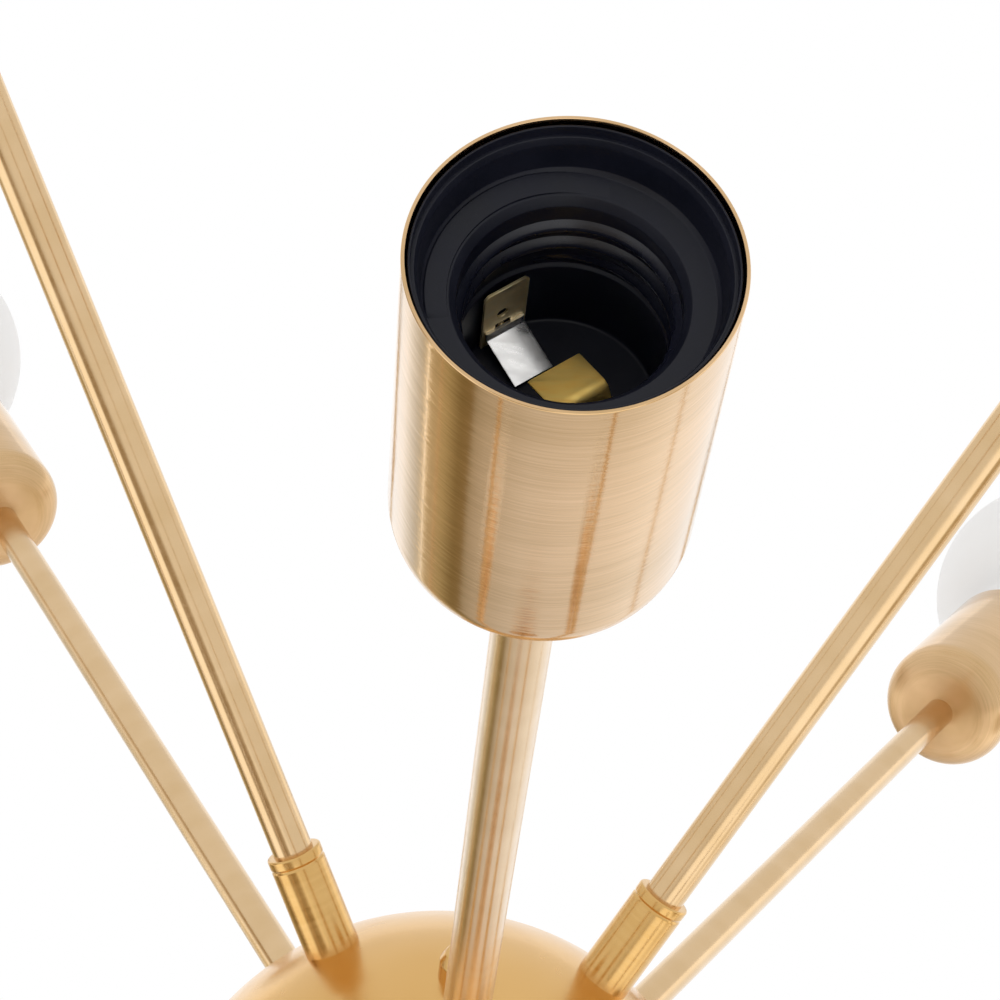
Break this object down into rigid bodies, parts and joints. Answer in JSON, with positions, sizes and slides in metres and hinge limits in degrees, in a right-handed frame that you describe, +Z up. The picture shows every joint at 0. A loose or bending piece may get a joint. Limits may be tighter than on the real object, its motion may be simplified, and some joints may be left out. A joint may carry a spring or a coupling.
{
  "type": "multi arm chandelier",
  "caption": "Ceiling light whose straight brass arms radiate from a ball on a stem, each ending in a round cup that holds a screw-base lamp.",
  "frame": {"origin": "centre of the mounting bracket's top face, on the ceiling", "axes": "+Z up into the ceiling; the front arm, whose cup is empty, points to -Y and down"},
  "size_m": [0.9751, 0.8667, 0.9823],
  "materials": {
    "brushed_brass": "brushed around the axis, clear lacquer",
    "black_holder": "moulded, slight sheen",
    "zinc_steel": "zinc plated",
    "nickel_contact": "bright nickel",
    "brass_contact": "stamped brass",
    "white_nylon": "moulded",
    "green_screw": "dyed",
    "lamp_cap": "rolled thread",
    "lamp_glass": "pale satin"
  },
  "bodies": {
    "canopy_body": {"canopy": "brushed_brass", "mounting_bracket": "zinc_steel", "ground_screw": "green_screw", "swivel_housing": "zinc_steel", "housing_nut": "zinc_steel", "swivel_retainer": "brushed_brass"},
    "washer": {"swivel_washer": "white_nylon"},
    "swivel": {"swivel_ball": "brushed_brass"},
    "light": {"stem_nipple": "zinc_steel", "nipple_nut": "zinc_steel", "stem": "brushed_brass", "stem_nut": "zinc_steel", "hub_ball": "brushed_brass", "hub_top_collar": "brushed_brass", "finial": "brushed_brass", "arm_collars": "brushed_brass", "arm_lock_nuts": "zinc_steel", "cup_nuts": "zinc_steel", "side_contacts": "nickel_contact", "centre_contacts": "brass_contact", "open_side_contact": "nickel_contact", "bulb_caps": "lamp_cap", "bulb_globes": "lamp_glass", "arm_tube_01": "brushed_brass", "arm_tube_02": "brushed_brass", "arm_tube_03": "brushed_brass", "arm_tube_04": "brushed_brass", "arm_tube_05": "brushed_brass", "arm_tube_06": "brushed_brass", "arm_tube_07": "brushed_brass", "arm_tube_08": "brushed_brass", "arm_tube_09": "brushed_brass", "arm_tube_10": "brushed_brass", "arm_tube_11": "brushed_brass", "arm_tube_12": "brushed_brass", "arm_cup_01": "brushed_brass", "arm_cup_02": "brushed_brass", "arm_cup_03": "brushed_brass", "arm_cup_04": "brushed_brass", "arm_cup_05": "brushed_brass", "arm_cup_06": "brushed_brass", "arm_cup_07": "brushed_brass", "arm_cup_08": "brushed_brass", "arm_cup_09": "brushed_brass", "arm_cup_10": "brushed_brass", "arm_cup_11": "brushed_brass", "arm_cup_12": "brushed_brass", "lampholder_01": "black_holder", "lampholder_02": "black_holder", "lampholder_03": "black_holder", "lampholder_04": "black_holder", "lampholder_05": "black_holder", "lampholder_06": "black_holder", "lampholder_07": "black_holder", "lampholder_08": "black_holder", "lampholder_09": "black_holder", "lampholder_10": "black_holder", "lampholder_11": "black_holder", "lampholder_12": "black_holder"},
    "contact_tongue": {"open_centre_contact": "brass_contact"}
  },
  "joints": [
    {"name": "hang_tilt_x", "type": "hinge", "parent": "canopy_body", "child": "washer", "pos_m": [0, 0, -0.026], "axis": [1, 0, 0], "range_deg": [-15, 15]},
    {"name": "hang_tilt_y", "type": "hinge", "parent": "washer", "child": "swivel", "pos_m": [0, 0, -0.026], "axis": [0, 1, 0], "range_deg": [-15, 15]},
    {"name": "hang_turn", "type": "hinge", "parent": "swivel", "child": "light", "pos_m": [0, 0, -0.026], "axis": [0, 0, 1], "range_deg": [-170, 170]},
    {"name": "contact_press", "type": "hinge", "parent": "light", "child": "contact_tongue", "pos_m": [-0.00627, -0.20028, -0.86643], "axis": [0.766, -0.5451, 0.3406], "range_deg": [0, 8], "stiffness_Nm_per_rad": 0.4}
  ]
}
